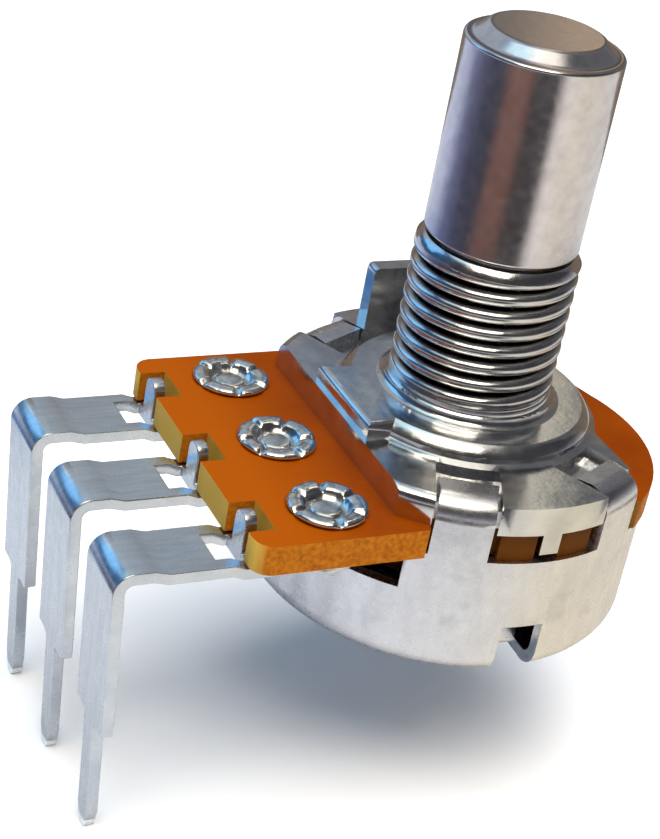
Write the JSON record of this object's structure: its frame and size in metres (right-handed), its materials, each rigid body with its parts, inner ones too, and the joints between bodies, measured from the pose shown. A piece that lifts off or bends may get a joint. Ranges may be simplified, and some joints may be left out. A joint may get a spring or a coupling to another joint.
{
  "type": "rotary potentiometer",
  "caption": "Single-gang rotary potentiometer with threaded mounting bush, plain round shaft, phenolic wafer and side terminals bent down for a circuit board.",
  "frame": {"origin": "on the shaft axis, in the plane of the raised face that meets the panel", "axes": "+Z along the shaft toward its free end; -X toward the three terminals; +Y toward the locating lug"},
  "size_m": [0.0259, 0.0166, 0.0316],
  "materials": {
    "shaft_steel": "turned and polished",
    "die_cast_zinc": "satin die casting",
    "washer_brass": "plain",
    "spring_steel": "blackened",
    "phenolic": "semi-gloss paper laminate",
    "carbon_print": "matt printed film",
    "silver_print": "matt printed film",
    "tinned_brass": "satin tin plate",
    "eyelet_tin": "bright tin plate",
    "rotor_phenolic": "moulded",
    "phosphor_bronze": "spring temper",
    "plated_steel": "satin nickel plate"
  },
  "bodies": {
    "housing": {"mounting_bush": "die_cast_zinc", "thrust_washer": "washer_brass", "wafer": "phenolic", "resistive_track": "carbon_print", "end_contact_1": "silver_print", "end_contact_3": "silver_print", "collector_track": "silver_print", "terminal_1": "tinned_brass", "terminal_2": "tinned_brass", "terminal_3": "tinned_brass", "eyelet_1": "eyelet_tin", "eyelet_2": "eyelet_tin", "eyelet_3": "eyelet_tin", "rear_cover": "plated_steel"},
    "turning": {"shaft": "shaft_steel", "retaining_ring": "spring_steel", "rotor": "rotor_phenolic", "wiper": "phosphor_bronze"}
  },
  "joints": [
    {"name": "shaft_turn", "type": "hinge", "parent": "housing", "child": "turning", "pos_m": [0, 0, 0], "axis": [0, 0, 1], "range_deg": [-150, 150]}
  ]
}
